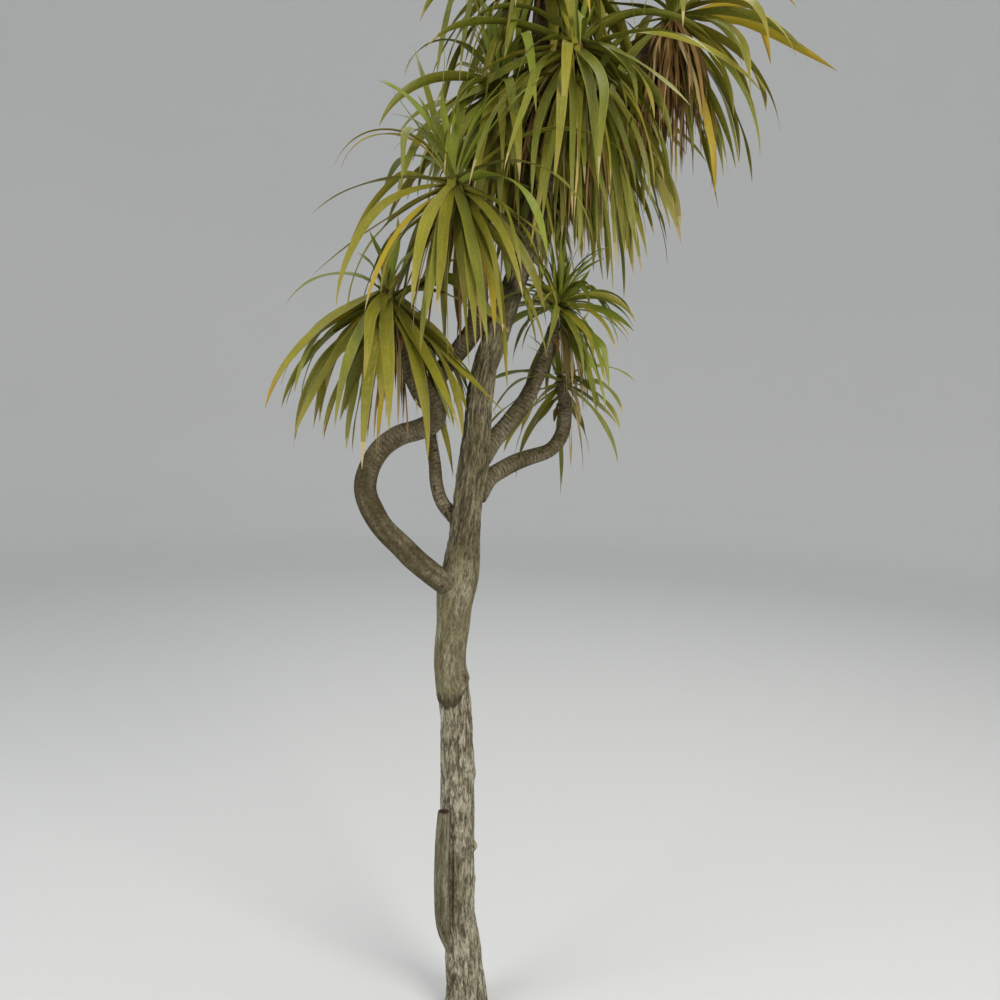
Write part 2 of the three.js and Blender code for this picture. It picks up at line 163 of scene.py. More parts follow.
def limb_skin(name, runs, middles, widths, sides, smoothness, level_foot=False):
    """A closed limb: one ring at each stop along its middle, each bridged to the one before.
    The attribute grown says where each point would be if the limb had grown straight up."""
    ways = np.gradient(middles, axis=0)
    if level_foot:
        ways[0] = (0, 0, 1)
    ways = [Vector(way).normalized() for way in ways]
    # A smooth skin runs inside the corners of its cage, so the cage is drawn this much wider
    make_up = 1 / (2 / 3 + math.cos(2 * math.pi / sides) / 3)
    turned = Vector((0, 0, 1)).rotation_difference(ways[0])
    grown = []
    bpy.ops.object.select_all(action="DESELECT")
    for stop, (run, middle, way, width) in enumerate(zip(runs, middles, ways, widths)):
        if stop:
            turned = ways[stop - 1].rotation_difference(way) @ turned
        bpy.ops.mesh.primitive_circle_add(
            vertices=sides, radius=make_up * width / 2, location=middle,
            rotation=turned.to_euler(),
        )
        if not stop:
            limb = bpy.context.object
            limb.name = limb.data.name = name
            bpy.ops.object.transform_apply(location=True, rotation=True)
            bpy.ops.object.mode_set(mode="EDIT")
        else:
            bpy.ops.mesh.select_mode(type="VERT")
            limb.update_from_editmode()
            bpy.ops.object.mode_set(mode="OBJECT")
            first = (stop - 1) * sides
            for corner in limb.data.vertices[first:first + sides]:
                corner.select = True
            bpy.ops.object.mode_set(mode="EDIT")
            bpy.ops.mesh.bridge_edge_loops()
        grown.append((turned.inverted(), Vector(middle), run))
    bpy.ops.object.mode_set(mode="OBJECT")
    field = limb.data.attributes.new("grown", "FLOAT_VECTOR", "POINT")
    for number, corner in enumerate(limb.data.vertices):
        back, middle, run = grown[number // sides]
        straight = back @ (corner.co - middle)
        field.data[number].vector = (straight.x, straight.y, run)
    rounding = limb.modifiers.new("rounding", "SUBSURF")
    rounding.levels = rounding.render_levels = smoothness
    bpy.ops.object.modifier_apply(modifier=rounding.name)
    bpy.ops.object.mode_set(mode="EDIT")
    bpy.ops.mesh.select_all(action="SELECT")
    bpy.ops.mesh.fill_holes(sides=0)
    bpy.ops.mesh.select_all(action="SELECT")
    bpy.ops.mesh.normals_make_consistent(inside=False)
    bpy.ops.object.mode_set(mode="OBJECT")
    return limb


def carve(limb, relief):
    """Moves each point of a limb's skin along its normal, and notes how deep in a crack it
    lies and how brown it is there, all three as relief(grown) gives them."""
    mesh = limb.data
    count = len(mesh.vertices)
    places, normals, grown = (np.zeros(count * 3) for _ in range(3))
    mesh.vertices.foreach_get("co", places)
    mesh.vertices.foreach_get("normal", normals)
    mesh.attributes["grown"].data.foreach_get("vector", grown)
    places, normals, grown = (array.reshape(-1, 3) for array in (places, normals, grown))
    found = np.array([relief(Vector(point)) for point in grown])
    cut = places[:, 2] < CUT_HEIGHT
    normals[cut, 2] = 0
    places += normals * found[:, :1]
    places[cut, 2] = 0
    mesh.vertices.foreach_set("co", places.ravel())
    for column, name in ((1, "crack"), (2, "brown")):
        field = mesh.attributes.new(name, "FLOAT", "POINT")
        field.data.foreach_set("value", np.ascontiguousarray(found[:, column]))
    mesh.shade_smooth()
    mesh.update()


def smooth_step(value, low, high):
    share = min(max((value - low) / (high - low), 0.0), 1.0)
    return share * share * (3 - 2 * share)


def trunk_width_and_lean(height):
    """The trunk's diameter at a height, and how far its middle leans to the right there."""
    for low, high in zip(TRUNK_SIZES, TRUNK_SIZES[1:]):
        if height <= high[0]:
            break
    share = smooth_step(height, low[0], high[0])
    return low[2] + (high[2] - low[2]) * share, low[1] + (high[1] - low[1]) * share


trunk_stops = np.linspace(0, TRUNK_SIZES[-1][0], round(TRUNK_SIZES[-1][0] / TRUNK_RINGS) + 1)
trunk_shape = [trunk_width_and_lean(height) for height in trunk_stops]
trunk_middles = [(lean, 0, height) for height, (_, lean) in zip(trunk_stops, trunk_shape)]
leader_stops, leader_middles = middle_line((trunk_middles[-1], *LEADER_PATH), TRUNK_RINGS)
leader_widths = np.interp(
    leader_stops, (0, leader_stops[-1]), (TRUNK_SIZES[-1][2], LEADER_TIP)
)

# Marks on the trunk: [height, turn in degrees, reach, how far it stands out, how dark its eye
# is]. The turn is 0 to the right and 270 towards the camera. The first four are the swellings
# from which the boughs grow, the fifth the crease above the left bough, the rest are knots.
MARKS = (
    (1.072, 200, 0.036, 0.0085, 0.0), (1.238, 178, 0.026, 0.005, 0.0),
    (1.312, 52, 0.026, 0.005, 0.0), (1.400, 50, 0.026, 0.004, 0.0),
    (1.128, 204, 0.012, -0.002, 1.0), (0.850, 330, 0.020, 0.008, 0.0),
    (0.612, 350, 0.014, 0.006, 0.5), (0.428, 345, 0.009, 0.011, 0.3),
    (0.430, 316, 0.032, 0.002, 0.9), (0.340, 352, 0.006, 0.005, 0.6),
    (0.698, 240, 0.011, 0.003, 0.8), (0.952, 262, 0.008, 0.0015, 0.5),
    (1.043, 305, 0.008, 0.002, 0.9), (1.020, 120, 0.016, 0.006, 0.6),
    (0.360, 60, 0.014, 0.006, 0.8), (0.700, 150, 0.012, 0.006, 0.8),
)
# The younger bark ends in a rounded, ragged lip over the old bark. It hangs lowest in front on
# the left, where it is dark brown.
LIP_HEIGHT = 0.787
LIP_RISE = 0.05
LIP_TURN = math.radians(248)
LIP_DEPTH = 0.0036
LIP_ROUNDNESS = 0.035
# The seam between the trunk and the old side stem
SEAM_TURN = math.radians(256)
SEAM_WIDTH = 0.0036
SEAM_DEPTH = 0.003
# How deep the cracks are in the smooth bark, in the old bark and in the bark at the fork
SMOOTH_CRACKS = 0.0007
OLD_CRACKS = 0.0021
FORK_CRACKS = 0.0036


def streak(grown, across, along):
    """Unevenness drawn out up and down a limb, from -1 to 1."""
    return noise.noise(Vector((grown.x / across, grown.y / across, grown.z / along)))


def lengthwise_cracks(grown, across, along, width):
    """How deep in a lengthwise crack a point of the bark lies, from 0 to 1."""
    wander = 0.45 * streak(grown, 0.033, 0.07)
    place = Vector((grown.x / across + wander, grown.y / across - wander, grown.z / along))
    return max(1 - abs(noise.noise(place)) / width, 0.0)


def trunk_relief(grown):
    turn = math.atan2(grown.y, grown.x)
    height = grown.z
    radius = math.hypot(grown.x, grown.y)
    away = math.remainder(turn - LIP_TURN, 2 * math.pi)
    sag = LIP_RISE * (1 - math.cos(away)) + 0.009 * noise.noise(Vector((away * 3, 5.0, 0)))
    above = height - (LIP_HEIGHT + sag)
    fork = smooth_step(height, 1.06, 1.20)
    smooth = smooth_step(above, 0.0, 0.03) - fork
    old = 1 - smooth - fork
    ridge = radius * ROOT_RIDGE_DEPTH * math.exp(-height / ROOT_RIDGE_HEIGHT)
    move = ridge * math.cos(ROOT_RIDGES * turn + ROOT_RIDGE_TURN)
    move += 0.0030 * streak(grown, 0.062, 0.11)
    move += (0.0011 + 0.0016 * fork) * streak(grown, 0.013, 0.17)
    move += 0.0007 * (old + 0.4) * streak(grown, 0.007, 0.022)
    long = lengthwise_cracks(grown, 0.011, 0.075, 0.26) ** 1.2
    short = 0.9 * lengthwise_cracks(grown, 0.0085, 0.050, 0.28)
    crack = long + (short - long) * old
    crack = max(crack, 0.7 * lengthwise_cracks(grown, 0.006, 0.026, 0.22))
    crack = max(crack, fork * lengthwise_cracks(grown, 0.009, 0.2, 0.24))
    crack = max(crack, (0.62 * fork + 0.1 * old) * smooth_step(streak(grown, 0.03, 0.1), 0.1, 0.4))
    broken = smooth_step(streak(grown, 0.02, 0.035), -0.5, 0.1)
    crack *= broken + (1 - broken) * 0.6 * fork
    move -= (SMOOTH_CRACKS * smooth + OLD_CRACKS * old + FORK_CRACKS * fork) * crack
    crack *= 1 - 0.55 * smooth
    # The lip
    if above > 0:
        move += LIP_DEPTH * math.exp(-above / LIP_ROUNDNESS) * min(above / 0.004, 1)
        reach = 0.007 + 0.026 * math.exp(-((away / 0.8) ** 2))
        dark = 1.3 * math.exp(-((above / reach) ** 2)) * (1 + 0.8 * streak(grown, 0.010, 0.03))
        crack = max(crack, dark)
    else:
        move -= 0.4 * LIP_DEPTH * math.exp(above / 0.012)
        crack = max(crack, 0.8 * math.exp(above / 0.004))
    # The seam: a real groove, whose crease and the bark beside it are darkened as painted shade
    along = smooth_step(height, 0.19, 0.26) - smooth_step(height, 0.40, 0.50)
    # Brown: browner on the younger bark and at the fork, where the browning is partly painted shade
    # of the crown
    brown = 0.12 + 0.70 * smooth + 0.78 * fork + 0.45 * streak(grown, 0.025, 0.12)
    if along > 0:
        around = math.remainder(turn - SEAM_TURN, 2 * math.pi) * radius
        seam = along * math.exp(-((around / SEAM_WIDTH) ** 2))
        move -= SEAM_DEPTH * seam
        crack = max(crack, seam)
        brown += 0.7 * along * math.exp(-((around / 0.016) ** 2))
    # The swellings and knots. Round each mark without an eye the bark is darkened, as painted shade
    # about the bough joints
    for mark_height, mark_turn, reach, stand, eye in MARKS:
        around = math.remainder(turn - math.radians(mark_turn), 2 * math.pi) * radius
        far = math.hypot(around, (height - mark_height) * 0.8) / reach
        if far < 3:
            hollow = eye * math.exp(-((far * 2.4) ** 2))
            move += stand * math.exp(-far * far) - 0.7 * abs(stand) * hollow
            crack = max(crack, hollow, 0.0 if eye else 0.45 * math.exp(-far * far))
    return move, min(crack, 1.0), min(max(brown, 0.0), 1.0)


# The ridges of the bark are pale grey beige and its cracks brown. Streaks of a browner grey
# run through both, and flecks of pale growth sit on the ridges.
BROWN_TINT = (0.43, 0.405, 0.28, 1)
FLECK_SIZE = (260, 260, 105)
SPECULAR = 0.25


def add_group(name, inputs, outputs):
    """A node group with named sockets, and its nodes for what goes in and what comes out."""
    group = bpy.data.node_groups.new(name, "ShaderNodeTree")
    for kind, sockets in (("INPUT", inputs), ("OUTPUT", outputs)):
        for label, socket in sockets:
            group.interface.new_socket(label, in_out=kind, socket_type="NodeSocket" + socket)
    return group, group.nodes.new("NodeGroupInput"), group.nodes.new("NodeGroupOutput")


def add_node(tree, kind, settings=None, **values):
    """A node with its settings, and its inputs given as numbers or as other nodes' outputs."""
    node = tree.nodes.new("ShaderNode" + kind)
    for key, value in (settings or {}).items():
        setattr(node, key, value)
    for label, value in values.items():
        numbered = label[1:].isdigit()
        socket = node.inputs[int(label[1:]) if numbered else label.replace("_", " ")]
        if isinstance(value, bpy.types.NodeSocket):
            tree.links.new(value, socket)
        else:
            socket.default_value = value
    return node


def times(tree, vector, sizes):
    """A vector, multiplied axis by axis."""
    return add_node(tree, "VectorMath", {"operation": "MULTIPLY"}, i0=vector, i1=sizes).outputs[0]


def clouds(tree, place, detail, **values):
    """Noise at a place, from 0 to 1."""
    return add_node(tree, "TexNoise", Vector=place, Scale=1.0, Detail=detail, **values).outputs[0]


def ramp(tree, value, low, high, start, end):
    """Runs from start to end while the value runs from low to high."""
    return add_node(tree, "MapRange", i0=value, i1=low, i2=high, i3=start, i4=end).outputs[0]


def reckon(tree, operation, *values, clamp=False):
    """Arithmetic on some values, kept between 0 and 1 where it is clamped."""
    node = add_node(tree, "Math", {"operation": operation, "use_clamp": clamp},
                    **{f"i{number}": value for number, value in enumerate(values)})
    return node.outputs[0]


def blend(tree, share, first, second, way="MIX"):
    """A share of the second colour over the first."""
    settings = {"data_type": "RGBA", "blend_type": way}
    return add_node(tree, "Mix", settings, i0=share, i6=first, i7=second).outputs[2]


def scaled(tree, colour, factor):
    """A colour made lighter or darker."""
    return add_node(tree, "VectorMath", {"operation": "SCALE"}, i0=colour, Scale=factor).outputs[0]


def show_group(group, name, values, fields, bump_strength, bump_depth):
    """A material that shows a node group, fed with values and with fields of the mesh, and
    with it the group's node and the surface that it colours."""
    material = bpy.data.materials.new(name)
    material.use_nodes = True
    tree = material.node_tree
    surface = tree.nodes["Principled BSDF"]
    shown = tree.nodes.new("ShaderNodeGroup")
    shown.node_tree = group
    for label, value in values.items():
        shown.inputs[label].default_value = value
    for label, kind, settings, output in fields:
        tree.links.new(add_node(tree, kind, settings).outputs[output], shown.inputs[label])
    bump = add_node(tree, "Bump", Height=shown.outputs["Height"], Strength=bump_strength,
                    Distance=bump_depth)
    tree.links.new(shown.outputs["Colour"], surface.inputs["Base Color"])
    tree.links.new(bump.outputs[0], surface.inputs["Normal"])
    surface.inputs["Specular IOR Level"].default_value = SPECULAR
    return material, shown, surface


bark_group, given, result = add_group(
    "weathered_bark",
    (("Grown", "Vector"), ("Crack", "Float"), ("Brown", "Float"), ("Ridge Colour", "Color"),
     ("Patch Colour", "Color"), ("Crack Colour", "Color"), ("Fleck Colour", "Color"),
     ("Patch Size", "Vector"), ("Grain Size", "Vector")),
    (("Colour", "Color"), ("Roughness", "Float"), ("Height", "Float")),
)
grown, brown = given.outputs["Grown"], given.outputs["Brown"]
grain = clouds(bark_group, times(bark_group, grown, given.outputs["Grain Size"]), 5.0,
               Roughness=0.62)
patches = clouds(bark_group, times(bark_group, grown, given.outputs["Patch Size"]), 4.0)
flecks = clouds(bark_group, times(bark_group, grown, FLECK_SIZE), 3.0, Distortion=0.6)
calm = ramp(bark_group, brown, 0.2, 1.0, 1.0, 0.55)
face = blend(bark_group, ramp(bark_group, patches, 0.42, 0.58, 0.0, calm),
             given.outputs["Ridge Colour"], given.outputs["Patch Colour"])
face = blend(bark_group, ramp(bark_group, flecks, 0.55, 0.70, 0.0, 0.6), face,
             given.outputs["Fleck Colour"])
face = blend(bark_group, brown, face, BROWN_TINT, "MULTIPLY")
sunk = reckon(bark_group, "ADD", given.outputs["Crack"],
              ramp(bark_group, grain, 0.52, 0.32, -0.12, 0.5), clamp=True)
face = blend(bark_group, sunk, face, given.outputs["Crack Colour"])
shaded = scaled(bark_group, face, ramp(bark_group, grain, 0.35, 0.7, 0.8, 1.25))
rough = ramp(bark_group, sunk, 0.0, 1.0, 0.78, 0.95)
for output, value in (("Colour", shaded), ("Roughness", rough), ("Height", grain)):
    bark_group.links.new(value, result.inputs[output])


def bark_finish(name, ridge, patch, crack, fleck, patch_size, grain_size):
    """A bark material: the weathered bark group on the coordinates the limb has grown with."""
    values = {"Ridge Colour": ridge, "Patch Colour": patch, "Crack Colour": crack,
              "Fleck Colour": fleck, "Patch Size": patch_size, "Grain Size": grain_size}
    fields = [(field.title(), "Attribute", {"attribute_name": field}, output)
              for field, output in (("grown", "Vector"), ("crack", "Fac"), ("brown", "Fac"))]
    material, bark, surface = show_group(bark_group, name, values, fields, 0.7, 0.0010)
    material.node_tree.links.new(bark.outputs["Roughness"], surface.inputs["Roughness"])
    return material


trunk = limb_skin(
    "trunk_and_leader",
    [*trunk_stops, *(TRUNK_SIZES[-1][0] + leader_stops[1:])],
    np.array([*trunk_middles, *leader_middles[1:]]),
    [*(width for width, _ in trunk_shape), *leader_widths[1:]],
    TRUNK_SIDES, 3, level_foot=True,
)
carve(trunk, trunk_relief)
old_bark = bark_finish(
    "old_bark", (0.41, 0.375, 0.275, 1), (0.155, 0.130, 0.080, 1), (0.045, 0.033, 0.018, 1),
    (0.62, 0.58, 0.46, 1), (125, 125, 24), (420, 420, 85),
)
trunk.data.materials.append(old_bark)
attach(trunk, "root")
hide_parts("trunk", "upper_stem")


# The boughs grow out of the trunk through a swollen collar. Their bark is younger, browner
# and crossed by fine rings, the scars of fallen leaves. Each is a limb ring by ring, its widths
# read at shares of its length. The left one turns back in a knee in front of the thin one.
BOUGH_RINGS = 0.014
BOUGH_SIDES = 8
COLLAR_SWELL = 0.42
COLLAR_REACH = 0.036
JOINT_SHADE_REACH = 0.008
JOINT_SHADE_RAGGEDNESS = 60
GROWING_POINT = (0.9, 0.7, 0.35)
SCAR_SPACING = 0.0105
SCAR_DEPTH = 0.0011
WEATHERED_REACH = 0.3
BOUGHS = {
    "left_bough": {
        "path": (
            (-0.038, -0.004, 1.068), (-0.106, -0.030, 1.115), (-0.175, -0.050, 1.181),
            (-0.230, -0.060, 1.244), (-0.258, -0.046, 1.316), (-0.233, -0.022, 1.393),
            (-0.186, -0.006, 1.432), (-0.143, -0.008, 1.446), (-0.109, -0.022, 1.463),
            (-0.099, -0.040, 1.496), (-0.124, -0.050, 1.536), (-0.163, -0.060, 1.601),
            (-0.191, -0.066, 1.669), (-0.212, -0.070, 1.772),
        ),
        "widths": (
            (0, 0.375, 0.585, 0.65, 0.72, 0.80, 0.89, 1),
            (0.055, 0.052, 0.049, 0.053, 0.063, 0.045, 0.047, 0.042),
        ),
        "plain": 0.5,
        # The left bough's bend is browned as painted shade, and the part that turns back over it is
        # kept pale as painted light
        "browns_and_shade": ((0.05, 0.20, 0.36, 0.48, 0.57, 0.64), (0.55, 0.75, 1.0, 0.15, 0.2, 0.9)),
        "stands_for": ("left_bough_lower", "left_bough_bend", "left_bough_upper"),
    },
    "thin_left_bough": {
        "path": (
            (-0.034, 0.012, 1.226), (-0.085, 0.008, 1.282), (-0.104, 0.030, 1.370),
            (-0.117, 0.048, 1.446), (-0.114, 0.056, 1.522), (-0.090, 0.046, 1.588),
            (-0.044, 0.026, 1.643), (-0.011, 0.004, 1.694), (-0.007, -0.024, 1.766),
            (-0.018, -0.058, 1.855), (-0.044, -0.088, 1.927), (-0.067, -0.110, 2.005),
        ),
        "widths": (
            (0, 0.2, 0.29, 0.45, 0.75, 1), (0.034, 0.029, 0.029, 0.045, 0.046, 0.038),
        ),
        "spots": 1.0,
    },
    "right_bough": {
        "path": (
            (0.004, 0.024, 1.392), (0.044, 0.050, 1.435), (0.100, 0.070, 1.506),
            (0.150, 0.088, 1.610), (0.180, 0.098, 1.700), (0.185, 0.100, 1.772),
        ),
        "widths": ((0, 1), (0.046, 0.030)),
    },
    "low_right_bough": {
        "path": (
            (-0.004, 0.022, 1.300), (0.036, 0.054, 1.340), (0.114, 0.098, 1.380),
            (0.178, 0.126, 1.402), (0.206, 0.138, 1.444), (0.212, 0.141, 1.500),
            (0.200, 0.140, 1.560), (0.195, 0.140, 1.594),
        ),
        "widths": ((0, 1), (0.044, 0.030)),
        "stands_for": ("low_right_bough_base", "low_right_bough_tip"),
    },
    "top_left_bough": {
        "path": (
            (0.128, 0.040, 2.000), (0.097, 0.060, 2.098), (0.058, 0.072, 2.184),
            (0.029, 0.080, 2.274),
        ),
        "widths": ((0, 1), (0.036, 0.028)),
    },
    "top_middle_bough": {
        "path": (
            (0.157, 0.049, 2.080), (0.172, 0.050, 2.160), (0.192, 0.040, 2.255),
            (0.204, 0.030, 2.348),
        ),
        "widths": ((0, 1), (0.034, 0.028)),
    },
    "top_right_bough": {
        "path": (
            (0.150, 0.052, 2.062), (0.214, 0.080, 2.160), (0.318, 0.094, 2.276),
            (0.404, 0.088, 2.366), (0.440, 0.080, 2.430),
        ),
        "widths": ((0, 1), (0.036, 0.030)),
    },
    "back_left_bough": {
        "path": (
            (0.100, 0.036, 1.880), (0.112, 0.130, 1.952), (0.092, 0.238, 2.054),
            (0.072, 0.306, 2.150), (0.066, 0.330, 2.230),
        ),
        "widths": ((0, 1), (0.036, 0.028)),
    },
    "back_right_bough": {
        "path": (
            (0.132, 0.042, 1.996), (0.178, 0.140, 2.060), (0.232, 0.252, 2.130),
            (0.262, 0.314, 2.196), (0.270, 0.332, 2.250),
        ),
        "widths": ((0, 1), (0.036, 0.028)),
    },
    "summit_bough": {
        "path": (
            (0.155, 0.050, 2.088), (0.144, 0.096, 2.230), (0.122, 0.122, 2.400),
            (0.126, 0.122, 2.520), (0.130, 0.120, 2.590),
        ),
        "widths": ((0, 1), (0.040, 0.030)),
    },
}


def bough_relief(grown, spots, browns_and_shade, plain):
    """Uneven swellings, and a shallow groove at each scar, broken here and there. The scars
    have weathered away on the oldest bark, which runs from the joint to where plain says."""
    move = 0.0024 * streak(grown, 0.045, 0.06) + 0.0007 * streak(grown, 0.012, 0.05)
    drift = 0.55 * streak(grown, 0.02, 0.09)
    ring = math.cos(2 * math.pi * (grown.z / SCAR_SPACING + drift))
    kept = smooth_step(streak(grown, 0.022, 0.03), -0.45, 0.1)
    aged = 1 - smooth_step(grown.z, plain - WEATHERED_REACH, plain)
    scar = max(-ring, 0.0) ** 3 * kept * (1 - 0.75 * aged)
    crack = 0.45 * lengthwise_cracks(grown, 0.009, 0.05, 0.16)
    spot = spots * smooth_step(streak(grown, 0.011, 0.017), 0.48, 0.6)
    move -= SCAR_DEPTH * scar + 0.0005 * crack + 0.0006 * spot
    brown = np.interp(grown.z, *browns_and_shade) + 0.7 * streak(grown, 0.03, 0.10)
    brown += 0.9 * aged * streak(grown, 0.013, 0.14)
    return move, min(max(0.8 * scar, crack, spot), 1.0), min(max(brown, 0.0), 1.0)


# The bough bark's colours are darkened, partly as painted shade of the crown over the boughs
bough_bark = bark_finish(
    "bough_bark", (0.125, 0.098, 0.050, 1), (0.190, 0.162, 0.105, 1), (0.030, 0.021, 0.011, 1),
    (0.27, 0.245, 0.17, 1), (26, 26, 48), (80, 80, 260),
)
for name, bough in BOUGHS.items():
    stops, middles = middle_line(bough["path"], BOUGH_RINGS)
    widths = np.interp(stops / stops[-1], *bough["widths"])
    widths = widths * (1 + COLLAR_SWELL * np.exp(-(stops / COLLAR_REACH) ** 2))
    # The growing point, inside the head of leaves
    widths[-len(GROWING_POINT):] = widths[-len(GROWING_POINT):] * GROWING_POINT
    limb = limb_skin(name + "_wood", stops, middles, widths, BOUGH_SIDES, 3)
    spots, plain = bough.get("spots", 0.0), bough.get("plain", 0.0)
    browns_and_shade = bough.get("browns_and_shade", ((0.0, 0.12), (0.15, 0.5)))
    carve(limb, lambda grown: bough_relief(grown, spots, browns_and_shade, plain))
    # Round the joint with the trunk the bough is darkened raggedly, as painted shade in the crease
    for corner, crack in zip(limb.data.vertices, limb.data.attributes["crack"].data):
        if corner.co.z < TRUNK_SIZES[-1][0]:
            width, lean = trunk_width_and_lean(corner.co.z)
            gap = max(math.hypot(corner.co.x - lean, corner.co.y) - width / 2, 0.0)
            ragged = 0.95 + 0.6 * noise.noise(JOINT_SHADE_RAGGEDNESS * corner.co)
            crack.value = min(max(crack.value, ragged * math.exp(-gap / JOINT_SHADE_REACH)), 1.0)
    limb.data.materials.append(bough_bark)
    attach(limb, "root")
    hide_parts(*bough.get("stands_for", (name,)))


# The old side stem is a dead shoot that was sawn off long ago and has grown together with
# the trunk's left side. Its wood is smooth and pale, with a small knot low down, and its top
# is a flat saw cut with a dark, rotten hollow in the middle.
SIDE_STEM_PATH = (
    (-0.036, -0.018, 0.158), (-0.055, -0.031, 0.220), (-0.063, -0.039, 0.310),
    (-0.064, -0.043, 0.430), (-0.061, -0.045, 0.532),
)
SIDE_STEM_WIDTHS = ((0.0, 0.08, 0.22, 0.34, 0.38), (0.027, 0.036, 0.036, 0.032, 0.027))
SIDE_KNOT_RUN = 0.07
SIDE_KNOT_REACH = 0.007
SIDE_MIDDLE_SHADE = 0.9
SIDE_MIDDLE_SHADE_REACH = 0.009
SAW_EDGE = 0.003
HOLLOW_RIM = 0.0045
HOLLOW_DEPTH = 0.022
HOLLOW_NARROWING = 0.72


def side_stem_relief(grown):
    move = 0.0010 * streak(grown, 0.016, 0.13) + 0.0003 * streak(grown, 0.008, 0.03)
    crack = 0.45 * lengthwise_cracks(grown, 0.007, 0.11, 0.14)
    far = math.hypot(grown.x, grown.z - SIDE_KNOT_RUN) / SIDE_KNOT_REACH
    if far < 3 and grown.y < 0:
        move += 0.002 * math.exp(-far * far)
        crack = max(crack, math.exp(-((far * 1.6) ** 2)))
    # Down the middle of its front the wood is browned and its edges are left pale: painted shade in
    # the middle, painted light on the edges
    brown = SIDE_MIDDLE_SHADE * math.exp(-((grown.x / SIDE_MIDDLE_SHADE_REACH) ** 2))
    brown *= 1.0 if grown.y < 0 else 0.3
    return move - 0.0005 * crack, crack, min(max(brown + 0.5 * streak(grown, 0.015, 0.05), 0), 1)


stops, middles = middle_line(SIDE_STEM_PATH, TRUNK_RINGS)
side_stem = limb_skin(
    "side_stem_wood", stops, middles, np.interp(stops, *SIDE_STEM_WIDTHS), TRUNK_SIDES, 3
)
carve(side_stem, side_stem_relief)
bpy.ops.object.mode_set(mode="EDIT")
bpy.ops.mesh.select_mode(type="FACE")
bpy.ops.mesh.select_all(action="DESELECT")
bpy.ops.object.mode_set(mode="OBJECT")
top = max(side_stem.data.polygons, key=lambda face: (len(face.vertices) > 4, face.center.z))
top.select = True
top_middle = tuple(top.center)
bpy.ops.object.mode_set(mode="EDIT")
bpy.ops.mesh.inset(thickness=HOLLOW_RIM)
bpy.ops.mesh.extrude_region_move(TRANSFORM_OT_translate={"value": (0, 0, -HOLLOW_DEPTH)})
bpy.ops.transform.resize(value=(HOLLOW_NARROWING, HOLLOW_NARROWING, 1),
                         center_override=top_middle)
bpy.ops.object.mode_set(mode="OBJECT")
bpy.ops.object.shade_smooth_by_angle(angle=math.radians(40))
hollow_radius = SIDE_STEM_WIDTHS[1][-1] / 2 - 0.6 * HOLLOW_RIM
for corner, crack in zip(side_stem.data.vertices, side_stem.data.attributes["crack"].data):
    away = corner.co - Vector(top_middle)
    if away.z > -1.5 * HOLLOW_DEPTH and math.hypot(away.x, away.y) < hollow_radius:
        crack.value = 1.0
    elif away.z > -SAW_EDGE:
        crack.value = 0.5 + 0.5 * noise.noise(110 * corner.co)
weathered_wood = bark_finish(
    "weathered_wood", (0.245, 0.225, 0.160, 1), (0.130, 0.113, 0.075, 1), (0.046, 0.022, 0.010, 1),
    (0.37, 0.345, 0.26, 1), (110, 110, 10), (420, 420, 60),
)
side_stem.data.materials.append(weathered_wood)
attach(side_stem, "root")
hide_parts("old_side_stem")


